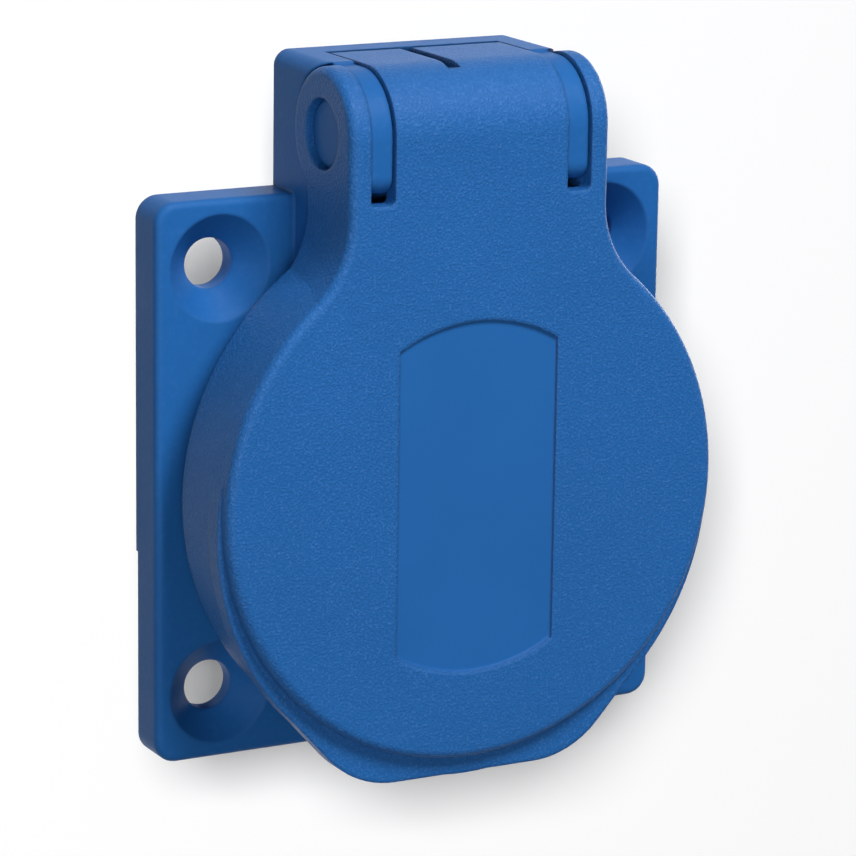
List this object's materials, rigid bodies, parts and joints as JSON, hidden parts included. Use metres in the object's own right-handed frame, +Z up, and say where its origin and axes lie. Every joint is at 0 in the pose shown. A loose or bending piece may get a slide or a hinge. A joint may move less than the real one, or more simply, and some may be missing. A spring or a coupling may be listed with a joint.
{
  "type": "industrial panel socket",
  "caption": "Blue flange-mounted power socket with a square plate, a round sprung flap lid on a top hinge, and a plug well with side earth clips.",
  "frame": {"origin": "on the socket's axis, in the plane of the mounting panel's front face", "axes": "+X to the right seen from the front, +Y back through the panel along the socket's axis, +Z up towards the hinge"},
  "size_m": [0.05, 0.0407, 0.0629],
  "materials": {
    "blue_plastic": "satin, finely grained on the lid",
    "grey_plastic": "matt moulded",
    "rubber": "matt",
    "brass": "bare, slightly dull",
    "steel": "zinc plated"
  },
  "bodies": {
    "socket": {"housing": "blue_plastic", "hinge_pin": "blue_plastic", "lid_spring": "steel", "panel_seal": "rubber", "socket_face": "grey_plastic", "terminal_carrier": "grey_plastic", "rear_ring": "grey_plastic", "live_contact": "brass", "neutral_contact": "brass", "live_contact_spring": "steel", "neutral_contact_spring": "steel", "earth_strap": "brass", "live_clamp": "steel", "neutral_clamp": "steel", "earth_clamp": "steel", "live_screw": "steel", "neutral_screw": "steel", "earth_screw": "steel", "carrier_screw_left": "steel", "carrier_screw_right": "steel"},
    "lid": {"lid": "blue_plastic", "lid_gasket": "rubber"}
  },
  "joints": [
    {"name": "lid_hinge", "type": "hinge", "parent": "socket", "child": "lid", "pos_m": [0, -0.0106, 0.0312], "axis": [-1, 0, 0], "range_deg": [0, 120], "stiffness_Nm_per_rad": 0.008, "springref_deg": -148.97, "deforming": ["lid_spring"]}
  ]
}
